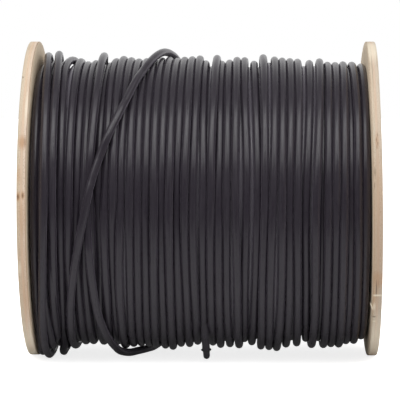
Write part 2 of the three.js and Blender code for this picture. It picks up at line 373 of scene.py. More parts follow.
def paint_marks(mesh, side, angle, depth):
    """Writes the rim's marks as a colour of each point: red for brown ones, green for dark, blue for pale.

    A mark has its full strength up to half its size from its middle, and none from one and a half times its
    size.
    """
    marks = np.zeros((len(angle), 4))
    for kind, marked in zip(["brown", "dark", "pale"], marks.T):
        for at, half_length, middle, half_width, strength in RIM_MARKS[side][kind]:
            arc = FLANGE_RADIUS * np.radians((angle - at + 180) % 360 - 180)
            inside = np.clip(1.5 - np.hypot(arc / half_length, (depth - middle) / half_width), 0, 1)
            marked[:] = np.maximum(marked, strength * inside)
    mesh.attributes.new("marks", "FLOAT_COLOR", "POINT").data.foreach_set("color", marks.ravel())


def paint_plies(mesh, side, angle, depth):
    """Writes the colour of each face's ply, and how much of its grain runs along the rim."""
    ply = np.searchsorted(PLY_EDGES, depth)
    colours = np.array([linear(colour) for colour in PLY_COLOURS[side]])[ply]
    upright = np.cos(np.radians(angle)) ** 2
    mesh.attributes.new("ply_colour", "FLOAT_COLOR", "FACE").data.foreach_set("color", colours.ravel())
    long_grain = np.where(ply % 2 == 0, upright, 1 - upright)
    mesh.attributes.new("long_grain", "FLOAT", "FACE").data.foreach_set("value", long_grain)


def map_rim(mesh, points, angle, depth, face_angle):
    """Adds the rim's UV map in millimetres: the way round it, and the depth below the outer face."""
    corner_point = read(mesh.loops, "vertex_index", 1, int)[:, 0]
    own_face = np.repeat(face_angle, read(mesh.polygons, "loop_total", 1, int)[:, 0])
    swing = (angle[corner_point] - own_face + 180) % 360 - 180 + own_face
    along = np.radians(swing) * np.hypot(points[corner_point, 1], points[corner_point, 2])
    rim_map = mesh.uv_layers.new(name="rim")
    rim_map.data.foreach_set("uv", np.stack([along, depth[corner_point]], -1).ravel())


def flange(side, holes):
    """One board: turned, roughened and chipped along its rim, bored, and given its plies and blemishes, with
    painted light and painted shade among them.

    A chip's bite fades as exp(-(arc / half length)^4 - (depth / half width)^2).
    """
    out = -1 if side == "left" else 1
    depths, radii = flange_section()
    grid = turned(out * (OUTER_FACE - depths), radii, FLANGE_COLUMNS, reverse=out > 0)
    angle = np.arctan2(grid[:, :, 2], grid[:, :, 1])
    on_rim = np.clip((radii[:, None] - FLANGE_RADIUS + ROUGH_INSET) / ROUGH_FADE, 0, 1)
    bite = sawn_waves(angle, depths[:, None])
    for at, depth, half_length, half_width, deep in RIM_CHIPS[side]:
        arc = FLANGE_RADIUS * np.angle(np.exp(1j * (angle - np.radians(at))))
        bite += deep * np.exp(-(arc / half_length) ** 4 - ((depths[:, None] - depth) / half_width) ** 2)
    grid[:, :, 1:] *= (1 - bite * on_rim / FLANGE_RADIUS)[..., None]
    board = skin("flange_board_" + side, grid)
    drill(board, out, holes)

    mesh = board.data
    mesh.shade_smooth()
    mesh.set_sharp_from_angle(angle=np.radians(BOARD_CREASE))
    points = about_middle(read(mesh.vertices, "co", 3))
    angle, depth = around_and_depth(points)
    face_angle, face_depth = around_and_depth(about_middle(read(mesh.polygons, "center", 3)))
    paint_marks(mesh, side, angle, depth)
    paint_plies(mesh, side, face_angle, face_depth)
    map_rim(mesh, points, angle, depth, face_angle)
    flat = np.abs(read(mesh.polygons, "normal", 3)[:, 0]) > FACE_TILT
    mesh.materials.clear()
    dress(board, plywood_edge, "plywood", "flange_" + side)
    mesh.materials.append(plywood_face)
    mesh.polygons.foreach_set("material_index", flat.astype(int))
    if side == "right":
        points[:, 0] += out_of_square(points[:, 2])
        mesh.vertices.foreach_set("co", (points * MM + DRUM_MIDDLE).ravel())
    mesh.update()


# The edge of bare birch and poplar plywood, sawn: long grain shows as streaks, end grain as dark pores.
# Both are drawn about twice as coarse as real ones, so that they still show at a metre or two. Sizes along
# the rim and across it, in millimetres:
STREAK = (22.222, 0.3846)
PORE = (1.25, 0.909)
BROAD_STAIN = (50, 6.25)
plywood_edge, tree = material("plywood edge, sawn")
rim = add(tree, "UVMap", uv_map="rim")["UV"]
ply_colour = add(tree, "Attribute", attribute_name="ply_colour")["Color"]
long_grain = add(tree, "Attribute", attribute_name="long_grain")["Fac"]
marks = add(tree, "SeparateColor", {0: add(tree, "Attribute", attribute_name="marks")["Color"]})
streak_at = add(tree, "Mapping", {"Vector": rim, "Scale": on_map(STREAK)})["Vector"]
streaks = add(tree, "TexNoise", {"Vector": streak_at, "Scale": 1, "Detail": 4, "Roughness": 0.62})["Fac"]
streaks_dark = add(tree, "MapRange", {"Value": streaks, "From Min": 0.46, "From Max": 0.7})["Result"]
pore_at = add(tree, "Mapping", {"Vector": rim, "Scale": on_map(PORE)})["Vector"]
pores = add(tree, "TexNoise", {"Vector": pore_at, "Scale": 1, "Detail": 2, "Roughness": 0.7})["Fac"]
pores_dark = add(tree, "MapRange", {"Value": pores, "From Min": 0.5, "From Max": 0.66})["Result"]
grain = add(tree, "Mix", {0: long_grain, 2: pores_dark, 3: streaks_dark})[0]
broad_at = add(tree, "Mapping", {"Vector": rim, "Scale": on_map(BROAD_STAIN)})
broad = add(tree, "TexNoise", {"Vector": broad_at["Vector"], "Scale": 1, "Detail": 3})["Fac"]
warmth = add(tree, "MapRange", {"Value": broad, "From Min": 0.4, "From Max": 0.7, "To Max": 0.4})["Result"]
warmer = add(tree, "Mix", {0: warmth, 6: ply_colour, 7: "#CFB295"}, data_type="RGBA")[2]
grain_share = add(tree, "Math", {0: grain, 1: 0.55}, operation="MULTIPLY")["Value"]
grained = add(tree, "Mix", {0: grain_share, 6: warmer, 7: "#9A8468"}, data_type="RGBA")[2]
marked = grained
# The marks are mixed in over the grain; the broad pale ones low on the rims are painted light.
for layer, colour in ("Red", "#B98A60"), ("Green", "#5E4A38"), ("Blue", "#F2E8D2"):
    marked = add(tree, "Mix", {0: marks[layer], 6: marked, 7: colour}, data_type="RGBA")[2]
torn = add(tree, "Bump", {"Strength": 0.5, "Distance": 0.0002, "Height": grain}, invert=True)["Normal"]
sawn = add(tree, "BsdfPrincipled", {"Base Color": marked, "Roughness": 0.8, "IOR": 1.5, "Normal": torn})
add(tree, "OutputMaterial", {"Surface": sawn["BSDF"]})

# Rotary-cut birch face veneer, lightly sanded: broad wavy figure along Z, fine fibres, and a few pin knots.
# The fibres are drawn several times as coarse as real ones. Sizes along X, Y and Z, in millimetres:
FIGURE = (np.inf, 33.333, 333.33)
FIGURE_BEND = (625, 69.444, 195.31)
BEND_STRENGTH = 9
VENEER_FIBRE = (1000, 1.1111, 45.455)
KNOT_SPACING = (166.67, 41.667, 90.909)
plywood_face, tree = material("plywood face veneer")
position = add(tree, "TexCoord")["Object"]
bend_at = add(tree, "Mapping", {"Vector": position, "Scale": spaced(FIGURE_BEND)})["Vector"]
bend = add(tree, "TexNoise", {"Vector": bend_at, "Scale": 1, "Detail": 2})["Fac"]
bow = add(tree, "Math", {0: bend, 1: BEND_STRENGTH}, operation="MULTIPLY")["Value"]
shift = add(tree, "CombineXYZ", {"Y": bow})["Vector"]
figure_at = add(tree, "Mapping", {"Vector": position, "Scale": spaced(FIGURE)})["Vector"]
figure_bent = add(tree, "VectorMath", {0: figure_at, 1: shift}, operation="ADD")["Vector"]
figure = add(tree, "TexWave", {"Vector": figure_bent, "Scale": 1.0, "Distortion": 1.5, "Detail": 3,
                               "Detail Scale": 1.2}, bands_direction="Y")["Fac"]
fibre_at = add(tree, "Mapping", {"Vector": position, "Scale": spaced(VENEER_FIBRE)})["Vector"]
fibres = add(tree, "TexNoise", {"Vector": fibre_at, "Scale": 1, "Detail": 4, "Roughness": 0.6})["Fac"]
figured = add(tree, "MapRange", {"Value": figure, "To Min": 0.05, "To Max": 0.5})["Result"]
tone = add(tree, "Mix", {0: figured, 6: "#F0DFC6", 7: "#DDC09C"}, data_type="RGBA")[2]
fibrous = add(tree, "MapRange", {"Value": fibres, "From Min": 0.5, "From Max": 0.8, "To Max": 0.5})["Result"]
fibred = add(tree, "Mix", {0: fibrous, 6: tone, 7: "#A2875F"}, data_type="RGBA")[2]
knot_at = add(tree, "Mapping", {"Vector": position, "Scale": spaced(KNOT_SPACING)})["Vector"]
knots = add(tree, "TexVoronoi", {"Vector": knot_at, "Scale": 1, "Randomness": 1})["Distance"]
knotty = add(tree, "MapRange", {"Value": knots, "From Min": 0.12, "From Max": 0.05})["Result"]
knotted = add(tree, "Mix", {0: knotty, 6: fibred, 7: "#8A6544"}, data_type="RGBA")[2]
sanded = add(tree, "Bump", {"Strength": 0.35, "Distance": 0.0002, "Height": fibres})["Normal"]
veneer = add(tree, "BsdfPrincipled", {"Base Color": knotted, "Roughness": 0.72, "IOR": 1.5, "Normal": sanded})
add(tree, "OutputMaterial", {"Surface": veneer["BSDF"]})


def place_of(node):
    """A node's lowest and highest place along the drum's axis, and its middle across it, in millimetres."""
    low, high = ((np.array(corner) - DRUM_MIDDLE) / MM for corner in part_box(node))
    return low[0], high[0], np.array([0, *(low + high)[1:] / 2])


BOLTS = range(1, 5)
BOLT_HOLE_RADIUS = 3.5
START_HOLE_RADIUS = 5
START_HOLE_GAP = 3
START_HOLE_HEIGHT = BARREL_RADIUS + START_HOLE_GAP + START_HOLE_RADIUS
bolt_holes = [(*place_of(f"tie_bolt_{i}")[2][1:], BOLT_HOLE_RADIUS) for i in BOLTS]
flange("left", [*bolt_holes, (0, START_HOLE_HEIGHT, START_HOLE_RADIUS)])
flange("right", bolt_holes)

# A splinter that stands off the inner corner of the right rim: a round sliver that thins towards its tip.
# Its wood is freshly torn, pale, with grain along it.
SPLINTER_ANGLES = np.radians([219, 218, 217, 216, 214.8])
SPLINTER_GIRTH = [0.5, 0.6, 0.5, 0.35, 0]
SPLINTER_INTO_BOARD = np.array([0.9, 0.2, -0.6, -1.4, -2.2])
SPLINTER_BELOW_RIM = np.array([0.9, 0.7, 0.5, 0.4, 0.3])
SPLINTER_SIDES = 8
TORN_GRAIN = (3.333, 0.25)
splinter_path = polar(TRAVERSE / 2 + SPLINTER_INTO_BOARD, SPLINTER_ANGLES,
                      FLANGE_RADIUS - SPLINTER_BELOW_RIM)
splinter_path[:, 0] += out_of_square(splinter_path[:, 2])
fresh_wood, tree = material("plywood splinter, freshly torn")
surface = add(tree, "UVMap", uv_map="surface")["UV"]
grain_at = add(tree, "Mapping", {"Vector": surface, "Scale": on_map(TORN_GRAIN)})
torn_grain = add(tree, "TexNoise", {"Vector": grain_at["Vector"], "Scale": 1, "Detail": 2})["Fac"]
torn_wood = add(tree, "Mix", {0: torn_grain, 6: "#E6D6B8", 7: "#F7F0E0"}, data_type="RGBA")[2]
splinter_bsdf = add(tree, "BsdfPrincipled", {"Base Color": torn_wood, "Roughness": 0.8, "IOR": 1.5})
add(tree, "OutputMaterial", {"Surface": splinter_bsdf["BSDF"]})
sliver, sliver_map = carried(splinter_path, SPLINTER_GIRTH, SPLINTER_SIDES)
sliver = np.concatenate([np.broadcast_to(splinter_path[0], sliver[:1].shape), sliver])
sliver_map = np.concatenate([sliver_map[:1], sliver_map])
dress(skin("splinter_right", sliver, sliver_map), fresh_wood, "plywood", "flange_right")

# Tie bolts, washers and nuts -----------------------------------------------------------------------
# Four M6 carriage bolts clamp the boards against the barrel: low domed heads on the right board, whose
# square necks are sunk in the wood, flat washers and hex nuts on the left. All are steel, zinc plated.

HEAD_HEIGHT = 3.2
HEAD_RADIUS = 7.5
HEAD_EDGE = 0.7
HEAD_EASE = 0.2
SHANK_RADIUS = 3
THREAD_PITCH = 1
THREAD_DEPTH = 0.6
THREAD_LENGTH = 24
THREAD_FADE = 2
THREAD_ROWS = 8
DOME_ROWS = 9
WASHER_RADIUS = 6.5
WASHER_BORE = 3.2
WASHER_EASE = 0.2
NUT_FLATS = 10
NUT_BORE = 3.05
NUT_BEVEL = 0.5
NUT_CHAMFER = np.radians(30)
CHAMFER_START = 0.95
FASTENER_COLUMNS = 48
FASTENER_CREASE = 28


def carriage_bolt(tip, top, middle):
    """One turned skin from the thread's tip to the dome of the head.

    The thread's radius is its crest's, less its depth times |2 f - 1|, where f is the fraction of
    place / pitch - angle / turn, and it fades out at its inner end. The tip is a cone, and the head's outline
    is half an ellipse.
    """
    seat = top - HEAD_HEIGHT
    angle = np.linspace(0, TURN, FASTENER_COLUMNS + 1)
    along = np.linspace(tip, tip + THREAD_LENGTH, THREAD_LENGTH * THREAD_ROWS // THREAD_PITCH + 1)[:, None]
    through = (along - tip) / THREAD_PITCH - angle / TURN
    fade = np.clip((tip + THREAD_LENGTH - along) / THREAD_FADE, 0, 1)
    groove = THREAD_DEPTH * np.abs(2 * (through % 1) - 1) * fade
    thread = np.minimum(SHANK_RADIUS - groove, SHANK_RADIUS - THREAD_DEPTH + along - tip)
    dome = np.linspace(0, np.pi / 2, DOME_ROWS)
    depths = np.concatenate([[tip], along[:, 0], [seat, seat, seat + HEAD_EDGE / 2],
                             seat + HEAD_EDGE + (HEAD_HEIGHT - HEAD_EDGE) * np.sin(dome)])
    plain = [SHANK_RADIUS, HEAD_RADIUS - HEAD_EASE, HEAD_RADIUS, *(HEAD_RADIUS * np.cos(dome))]
    radii = np.concatenate([np.zeros((1, len(angle))), thread, np.outer(plain, np.ones(len(angle)))])
    return turned(depths, radii, FASTENER_COLUMNS) + middle


def hex_nut(low, high, middle):
    """A ring whose outside is a hexagon: half the flats / cos of the angle from the nearest flat's middle.

    Both faces are chamfered by a cone of 30 degrees, which cuts the corners in curves.
    """
    angle = np.linspace(0, TURN, FASTENER_COLUMNS + 1)
    hexagon = NUT_FLATS / 2 / np.cos((angle + TURN / 12) % (TURN / 6) - TURN / 12)
    crown = np.full_like(angle, NUT_FLATS / 2 * CHAMFER_START)
    cut = (hexagon - crown) * np.tan(NUT_CHAMFER)
    bore = np.full_like(angle, NUT_BORE)
    flat = np.zeros_like(angle)
    depths = [low + NUT_BEVEL + flat, low + flat, low + flat, low + cut, high - cut, high + flat, high + flat,
              high - NUT_BEVEL + flat, low + NUT_BEVEL + flat]
    radii = [bore, bore + NUT_BEVEL, crown, hexagon, hexagon, crown, bore + NUT_BEVEL, bore, bore]
    return turned(np.array(depths), np.array(radii), FASTENER_COLUMNS) + middle


def flat_washer(low, high, middle):
    """A flat ring with eased edges."""
    eased = WASHER_RADIUS - WASHER_EASE
    depths = [low, low, low + WASHER_EASE, high - WASHER_EASE, high, high, low]
    radii = [WASHER_BORE, eased, WASHER_RADIUS, WASHER_RADIUS, eased, WASHER_BORE, WASHER_BORE]
    return turned(depths, radii, FASTENER_COLUMNS) + middle


# Bright zinc plate on rolled and forged steel: a clear grey metal, a little cloudy, with handling scratches,
# which are drawn several times as wide as real ones. Sizes along X, Y and Z, in millimetres:
ZINC_CLOUD = (3.333, 3.333, 3.333)
SCRATCH = (2.5, 0.3333, 4)
zinc, tree = material("zinc-plated steel")
position = add(tree, "TexCoord")["Object"]
cloud_at = add(tree, "Mapping", {"Vector": position, "Scale": spaced(ZINC_CLOUD)})["Vector"]
clouds = add(tree, "TexNoise", {"Vector": cloud_at, "Scale": 1, "Detail": 3})["Fac"]
zinc_tone = add(tree, "Mix", {0: clouds, 6: "#B4B7BA", 7: "#CDCEC9"}, data_type="RGBA")[2]
zinc_rough = add(tree, "MapRange", {"Value": clouds, "To Min": 0.25, "To Max": 0.45})["Result"]
scratch_at = add(tree, "Mapping", {"Vector": position, "Scale": spaced(SCRATCH)})["Vector"]
scratches = add(tree, "TexNoise", {"Vector": scratch_at, "Scale": 1, "Detail": 1})["Fac"]
scratched = add(tree, "Bump", {"Strength": 0.12, "Distance": 0.0001, "Height": scratches})["Normal"]
plated = add(tree, "BsdfPrincipled", {"Base Color": zinc_tone, "Metallic": 1, "Roughness": zinc_rough,
                                      "Normal": scratched})
add(tree, "OutputMaterial", {"Surface": plated["BSDF"]})

FASTENERS = [
    ("carriage_bolt", carriage_bolt, "tie_bolt"),
    ("flat_washer", flat_washer, "washer"),
    ("hex_nut", hex_nut, "nut"),
]
for name, shape, node in FASTENERS:
    for i in BOLTS:
        fastener = skin(f"{name}_{i}", shape(*place_of(f"{node}_{i}")))
        fastener.data.set_sharp_from_angle(angle=np.radians(FASTENER_CREASE))
        dress(fastener, zinc, "zinc_plate", f"{node}_{i}")

# Cable ---------------------------------------------------------------------------------------------
# One length of round coax with a satin black PVC jacket, wound turn beside turn. The jog from each turn
# to the next is at the back. Wound by hand under little tension, some turns ride up and some are squeezed
# down between their neighbours, and the whole winding hangs a few millimetres low.

CABLE_DIAMETER = 6.8
CABLE_RADIUS = CABLE_DIAMETER / 2
CROWN_RADIUS = 128.35
WINDING_SAG = 2.85
STEPS = 120
CABLE_SIDES = 16
TOUCH_GAP = 0.02
KNOT_ANGLES = [60, 90, 180, 270, 300]
FRONT_LIFT = 0.35
LAY_SMOOTHING = 7
SIDE_DRIFT = 1.1
SIDE_DRIFT_STEPS = 17
OUTWARD_DRIFT = 0.9
OUTWARD_DRIFT_STEPS = 13
TIGHT_DRIFT = 0.3
SETTLING_ROUNDS = 160
FREE_ROUNDS = 30
PULL = 0.12
STIFFNESS = 0.25
STIFF_REACH = 3

# Each turn of the top layer from right to left: its place at the top and how far it stands out there,
# its place at the front, its place at the bottom and how far it stands out there
TURNS = [
    (140.9, -5.3, 139.9, 140.8, -5.2), (132.2, -3.8, 133.2, 134.9, -1.5), (128.3, -8.5, 127.3, 128.3, -0.7),
    (125.1, -3.0, 121.5, 121.5, 1.9), (118.0, -3.6, 116.0, 114.4, 1.4), (110.8, -4.7, 110.0, 108.1, 2.6),
    (107.6, -9.0, 103.8, 102.4, -3.7), (104.2, -0.7, 97.6, 97.3, 2.6), (94.6, -1.8, 90.1, 92.0, -3.6),
    (83.9, -0.7, 83.4, 83.9, 0.6), (77.6, 0.1, 76.7, 74.3, 1.8), (70.7, 0.4, 68.8, 66.6, 5.5),
    (64.5, 1.6, 61.2, 59.5, 4.4), (53.9, 3.0, 54.7, 52.1, 3.7), (46.0, -2.8, 47.8, 43.8, 0.5),
    (37.5, 0.4, 39.1, 37.8, -3.4), (31.1, 0.4, 29.6, 33.6, 2.8), (24.0, -1.3, 21.5, 24.9, 2.0),
    (17.1, -2.4, 14.9, 16.1, 2.9), (12.2, 2.4, 9.0, 8.7, 0.1), (2.2, -2.1, 2.7, 2.8, 0.2),
    (-3.2, 2.1, -5.0, -3.0, -0.5), (-9.4, 1.3, -13.1, -10.8, 1.8), (-15.9, 1.0, -20.2, -19.0, 1.8),
    (-23.0, 0.4, -26.4, -26.5, 4.4), (-28.1, 0.4, -32.7, -32.9, 3.6), (-35.5, 0.0, -39.2, -41.2, 2.8),
    (-42.5, 0.0, -46.2, -47.6, 1.8), (-49.5, 0.0, -53.1, -54.2, 1.2), (-56.1, -0.7, -59.8, -60.9, 1.8),
    (-63.4, 0.4, -67.4, -68.1, 3.1), (-70.2, 1.8, -74.8, -75.0, -1.0), (-76.6, -0.7, -80.7, -81.3, -1.0),
    (-82.6, -4.5, -85.3, -87.7, 0.0), (-88.5, -5.5, -90.1, -93.1, -4.5), (-94.7, -2.4, -96.2, -97.1, -2.0),
    (-101.7, -3.3, -103.1, -103.1, -0.5), (-108.7, -0.4, -110.1, -109.5, -3.2),
    (-117.3, 0.8, -117.8, -118.5, -5.0), (-124.0, -3.0, -125.5, -125.9, 1.6),
    (-132.4, -2.5, -133.2, -133.0, -1.0), (-140.3, -5.0, -140.8, -141.3, -1.0),
]
# Where turns of the top layer are slack: which turn, its angle and half length in degrees, how far it stands
# out and how far it strays sideways
SLACK = [
    (41, 255, 15, 11.8, 0), (40, 246, 13, 9.3, 2.1), (38, 263, 11, 15.4, 0), (38, 264, 26, 0, -5.9),
    (38, 112, 15, 0, -2.6), (38, 72, 17, 1.8, 3.4), (31, 274, 12, 0.6, 1.2), (30, 277, 11, 0, 1.2),
    (29, 283, 10, 0.6, 0.8),
]


def level(angle):
    """Radius at which the even layer's crowns stand: the winding's circle, dropped by its sag."""
    return CROWN_RADIUS - WINDING_SAG * np.sin(np.radians(angle))


def smooth(values, half):
    """A moving mean weighted by a cosine bell, half that many steps each way, with the ends held."""
    bell = np.hanning(2 * half + 1)
    padded = np.pad(values, half, mode="edge")
    return np.convolve(padded, bell / bell.sum(), "valid")


def wander(count, every, strength):
    """A slow random drift: a random value every so many steps, and a smooth curve between them."""
    knots = rng.normal(0, strength, count // every + 2)
    return smooth(np.interp(np.arange(count) / every, np.arange(len(knots)), knots), every // 3)


def pushed_apart(place, radius, furthest):
    """The layer's places and radii once turns closer than a diameter have pushed each other apart.

    They push in and out as well as sideways, and none goes past the left board or its furthest place on
    the right. Meanwhile each is pulled to where it started and smoothed by its stiffness, and the last
    rounds only push.
    """
    wanted_place, wanted_radius = place.copy(), radius.copy()
    for settling in range(SETTLING_ROUNDS):
        if settling < SETTLING_ROUNDS - FREE_ROUNDS:
            place += PULL * (wanted_place - place) + STIFFNESS * (smooth(place, STIFF_REACH) - place)
            radius += PULL * (wanted_radius - radius) + STIFFNESS * (smooth(radius, STIFF_REACH) - radius)
        for apart in (STEPS, 2 * STEPS):
            sideways = place[:-apart] - place[apart:]
            outward = radius[:-apart] - radius[apart:]
            distance = np.hypot(sideways, outward)
            push = np.maximum(0, CABLE_DIAMETER + TOUCH_GAP - distance) / distance / 2
            place[:-apart] += sideways * push
            place[apart:] -= sideways * push
            radius[:-apart] += outward * push
            radius[apart:] -= outward * push
        place = np.clip(place, -TRAVERSE / 2 + CABLE_RADIUS, furthest)
    return place.reshape(-1, STEPS), radius.reshape(-1, STEPS)


def top_layer():
    """Place along the axis and radius of the top layer's centre line, a row of steps for each turn.

    It runs through the places of each turn and drifts between them, most at the front and the back.
    """
    turns = np.array(TURNS)
    top_lift, bottom_lift = turns[:, 1], turns[:, 4]
    front_lift = (top_lift + bottom_lift) * FRONT_LIFT
    starts = 360 * np.arange(len(turns))[:, None]
    knots = (starts + KNOT_ANGLES).ravel()
    places = turns[:, [0, 0, 2, 3, 3]].ravel()
    lifts = np.stack([top_lift, top_lift, front_lift, bottom_lift, bottom_lift], 1).ravel()
    count = len(turns) * STEPS
    unwound = np.arange(count) * 360 / STEPS
    loose = TIGHT_DRIFT + (1 - TIGHT_DRIFT) * np.cos(np.radians(unwound)) ** 2
    place = smooth(np.interp(unwound, knots, places), LAY_SMOOTHING)
    place += wander(count, SIDE_DRIFT_STEPS, SIDE_DRIFT) * loose
    lift = smooth(np.interp(unwound, knots, lifts), LAY_SMOOTHING)
    lift += wander(count, OUTWARD_DRIFT_STEPS, OUTWARD_DRIFT) * loose
    for turn, at, half, outward, sideways in SLACK:
        bell = np.exp(-((unwound - 360 * turn - at) / half) ** 2)
        lift += outward * bell
        place += sideways * bell
    radius = level(unwound) - CABLE_RADIUS + lift
    right = TRAVERSE / 2 + out_of_square(radius * np.sin(np.radians(unwound))) - CABLE_RADIUS
    return pushed_apart(place, radius, right)


def tube(place, angle, radius, sides=CABLE_SIDES, pinch=1):
    """A stretch of cable along a path, given as place along the axis, angle in degrees and radius.

    Its seam lies towards the drum's axis, and both of its ends are domes. Pinch is its share of full girth.
    """
    path = polar(place, np.radians(angle), radius)
    first, last = path[0] - path[1], path[-1] - path[-2]
    dome = np.radians([90, 60, 30])
    girth = np.pad(CABLE_RADIUS * pinch * np.ones(len(place)), len(dome), mode="edge")
    path = np.concatenate([
        path[0] + girth[0] * np.outer(np.sin(dome), first / np.linalg.norm(first)), path,
        path[-1] + girth[-1] * np.outer(np.sin(dome[::-1]), last / np.linalg.norm(last))])
    girth[:len(dome)] *= np.cos(dome)
    girth[-len(dome):] *= np.cos(dome[::-1])
    girth[[0, -1]] = 0
    return carried(path, girth, sides)


layer_place, layer_radius = top_layer()
layer_angle = np.broadcast_to(np.arange(STEPS) * 360 / STEPS, layer_place.shape)

# Extruded black PVC: near black, satin, with faint lengthwise drawing lines and rubbed, dusty patches.
# Fine pale dust has settled on its flanks, in the grooves between the turns, and the same lighter colour
# there is painted light too: it lightens the flanks where the grooves lie in shade. The lines are drawn about
# five times as wide as real ones, so that they still show. Sizes along the cable and round it, in
# millimetres, and how far round from the cable's outermost line the dust and painted light begin and are
# full:
RUB = (100 / 3, 20 / 7)
DRAWING_LINE = (50, 0.625)
DUST_AND_PAINTED_LIGHT_BEGINS = 0.95 * CABLE_RADIUS
DUST_AND_PAINTED_LIGHT_FULL = 1.4 * CABLE_RADIUS
cable_jacket, tree = material("PVC cable jacket, satin black")
jacket = add(tree, "UVMap", uv_map="surface")["UV"]
rub_at = add(tree, "Mapping", {"Vector": jacket, "Scale": on_map(RUB)})["Vector"]
rubs = add(tree, "TexNoise", {"Vector": rub_at, "Scale": 1, "Detail": 4, "Roughness": 0.6})["Fac"]
rubbed = add(tree, "MapRange", {"Value": rubs, "From Min": 0.5, "From Max": 0.72})["Result"]
line_at = add(tree, "Mapping", {"Vector": jacket, "Scale": on_map(DRAWING_LINE)})
lines = add(tree, "TexNoise", {"Vector": line_at["Vector"], "Scale": 1, "Detail": 3, "Roughness": 0.7})["Fac"]
dust = add(tree, "Math", {0: rubbed, 1: 0.3}, operation="MULTIPLY")["Value"]
black = add(tree, "Mix", {0: dust, 6: "#2B262E", 7: "#454048"}, data_type="RGBA")[2]
around = add(tree, "SeparateXYZ", {0: jacket})["Y"]
off_top = add(tree, "Math", {0: around, 1: np.pi * CABLE_RADIUS}, operation="SUBTRACT")["Value"]
flank = add(tree, "Math", {0: off_top}, operation="ABSOLUTE")["Value"]
# Dust, and painted light where the grooves between turns lie in shade: the flanks are lighter.
dust_and_painted_light = add(tree, "MapRange", {"Value": flank, "From Min": DUST_AND_PAINTED_LIGHT_BEGINS, "From Max": DUST_AND_PAINTED_LIGHT_FULL})["Result"]
dusted_and_lit = add(tree, "Mix", {0: dust_and_painted_light, 6: black, 7: "#625D66"}, data_type="RGBA")[2]
satin = add(tree, "MapRange", {"Value": rubs, "From Min": 0.35, "From Max": 0.7,
                               "To Min": 0.25, "To Max": 0.35})["Result"]
drawn = add(tree, "Bump", {"Strength": 0.2, "Distance": 0.0001, "Height": lines})["Normal"]
pvc = add(tree, "BsdfPrincipled", {"Base Color": dusted_and_lit, "Roughness": satin, "IOR": 1.53, "Normal": drawn})
add(tree, "OutputMaterial", {"Surface": pvc["BSDF"]})


def cable_piece(name, stretch):
    """A stretch of the cable, given as its grid and its map, made one piece of the winding."""
    dress(skin(name, *stretch), cable_jacket, "cable_jacket", "cable")


cable_piece("cable_top_layer", tube(layer_place.ravel(), layer_angle.ravel(), layer_radius.ravel()))

# The layer under it lies in the grooves, each turn just clear of the two turns of the top layer above it,
# and doesn't rise into wide gaps. Its map is half a turn round, so that its dusty side, with its painted
# light, is outside.
WIDEST_HALF_GAP = 1.35 * CABLE_RADIUS
UNDER_DROP = 0.3
UNDER_PLACE_SMOOTHING = 3
UNDER_RADIUS_SMOOTHING = 5
UNDER_SIDES = 10
half_gap = np.minimum((layer_place[:-1] - layer_place[1:]) / 2, WIDEST_HALF_GAP)
under_place = ((layer_place[:-1] + layer_place[1:]) / 2).ravel()
under_depth = np.sqrt(CABLE_DIAMETER ** 2 - half_gap ** 2)
under_radius = (np.minimum(layer_radius[:-1], layer_radius[1:]) - under_depth).ravel()
under_place = smooth(under_place, UNDER_PLACE_SMOOTHING)
under_radius = smooth(under_radius, UNDER_RADIUS_SMOOTHING) - UNDER_DROP
under_layer, under_map = tube(under_place, layer_angle[1:].ravel(), under_radius, sides=UNDER_SIDES)
cable_piece("cable_under_layer", (under_layer, under_map + [0, np.pi * CABLE_RADIUS]))

# The layers below it don't show, and are one plain core from the barrel's wall outwards.
CORE_END_GAP = 0.5
CORE_BORE_GAP = 0.3
CORE_BELOW_CROWNS = 2.2 * CABLE_DIAMETER
CORE_COLUMNS = 96
core_end = TRAVERSE / 2 - CORE_END_GAP
core_bore = BARREL_RADIUS + CORE_BORE_GAP
core_radius = CROWN_RADIUS - CORE_BELOW_CROWNS
core = turned([-core_end, -core_end, core_end, core_end, -core_end],
              [core_bore, core_radius, core_radius, core_bore, core_bore], CORE_COLUMNS)
cable_piece("cable_inner_layers", (core, core[:, :, :2]))

ROUTE_STEP = 1.5
SPAN_STEPS = 24
NESTING = 2
FULLY_SUNK = 2.5


def route(points):
    """Place, angle and lift along a smooth curve through a route's points, a Catmull-Rom spline."""
    points = np.array(points, float)
    ends = [2 * points[0] - points[1], *points, 2 * points[-1] - points[-2]]
    p0, p1, p2, p3 = (np.array(ends)[i:len(points) - 1 + i, None] for i in range(4))
    t = np.linspace(0, 1, SPAN_STEPS, endpoint=False)[None, :, None]
    curve = 0.5 * (2 * p1 + (p2 - p0) * t + (2 * p0 - 5 * p1 + 4 * p2 - p3) * t ** 2
                   + (3 * p1 - p0 - 3 * p2 + p3) * t ** 3).reshape(-1, 3)
    curve = np.concatenate([curve, points[-1:]])
    across = np.radians(np.gradient(curve[:, 1])) * CROWN_RADIUS
    length = np.concatenate([[0], np.cumsum(np.hypot(np.hypot(across, np.gradient(curve[:, 0])),
                                                     np.gradient(curve[:, 2])))[1:]])
    even = np.linspace(0, length[-1], int(length[-1] / ROUTE_STEP))
    return [np.interp(even, length, curve[:, i]) for i in range(3)]


def resting(along, angle):
    """The least radius at which a strand clears the top layer: it rests on each turn that it meets."""
    step = np.round(angle % 360 / 360 * STEPS).astype(int) % STEPS
    sideways = layer_place[:, step] - along
    reach = np.sqrt(np.maximum(0, CABLE_DIAMETER ** 2 - sideways ** 2))
    return np.where(reach > 0, layer_radius[:, step] + reach, 0).max(0)


def strand(points, bridge=6):
    """A loose stretch: it keeps to its route, rests on the top layer and bridges the dips in it.

    It bridges that many steps each way. Where its lift is below zero it sinks between the turns instead.
    """
    along, angle, lift = route(points)
    wanted = level(angle) + CABLE_RADIUS - NESTING + lift
    rest = resting(along, angle)
    padded = np.pad(rest, bridge, mode="edge")
    rest = smooth(np.max([padded[i:i + len(rest)] for i in range(2 * bridge + 1)], 0), bridge)
    sunk = np.clip(-lift / FULLY_SUNK, 0, 1)
    resting_place = np.maximum(wanted, rest)
    return along, angle, wanted * sunk + resting_place * (1 - sunk)


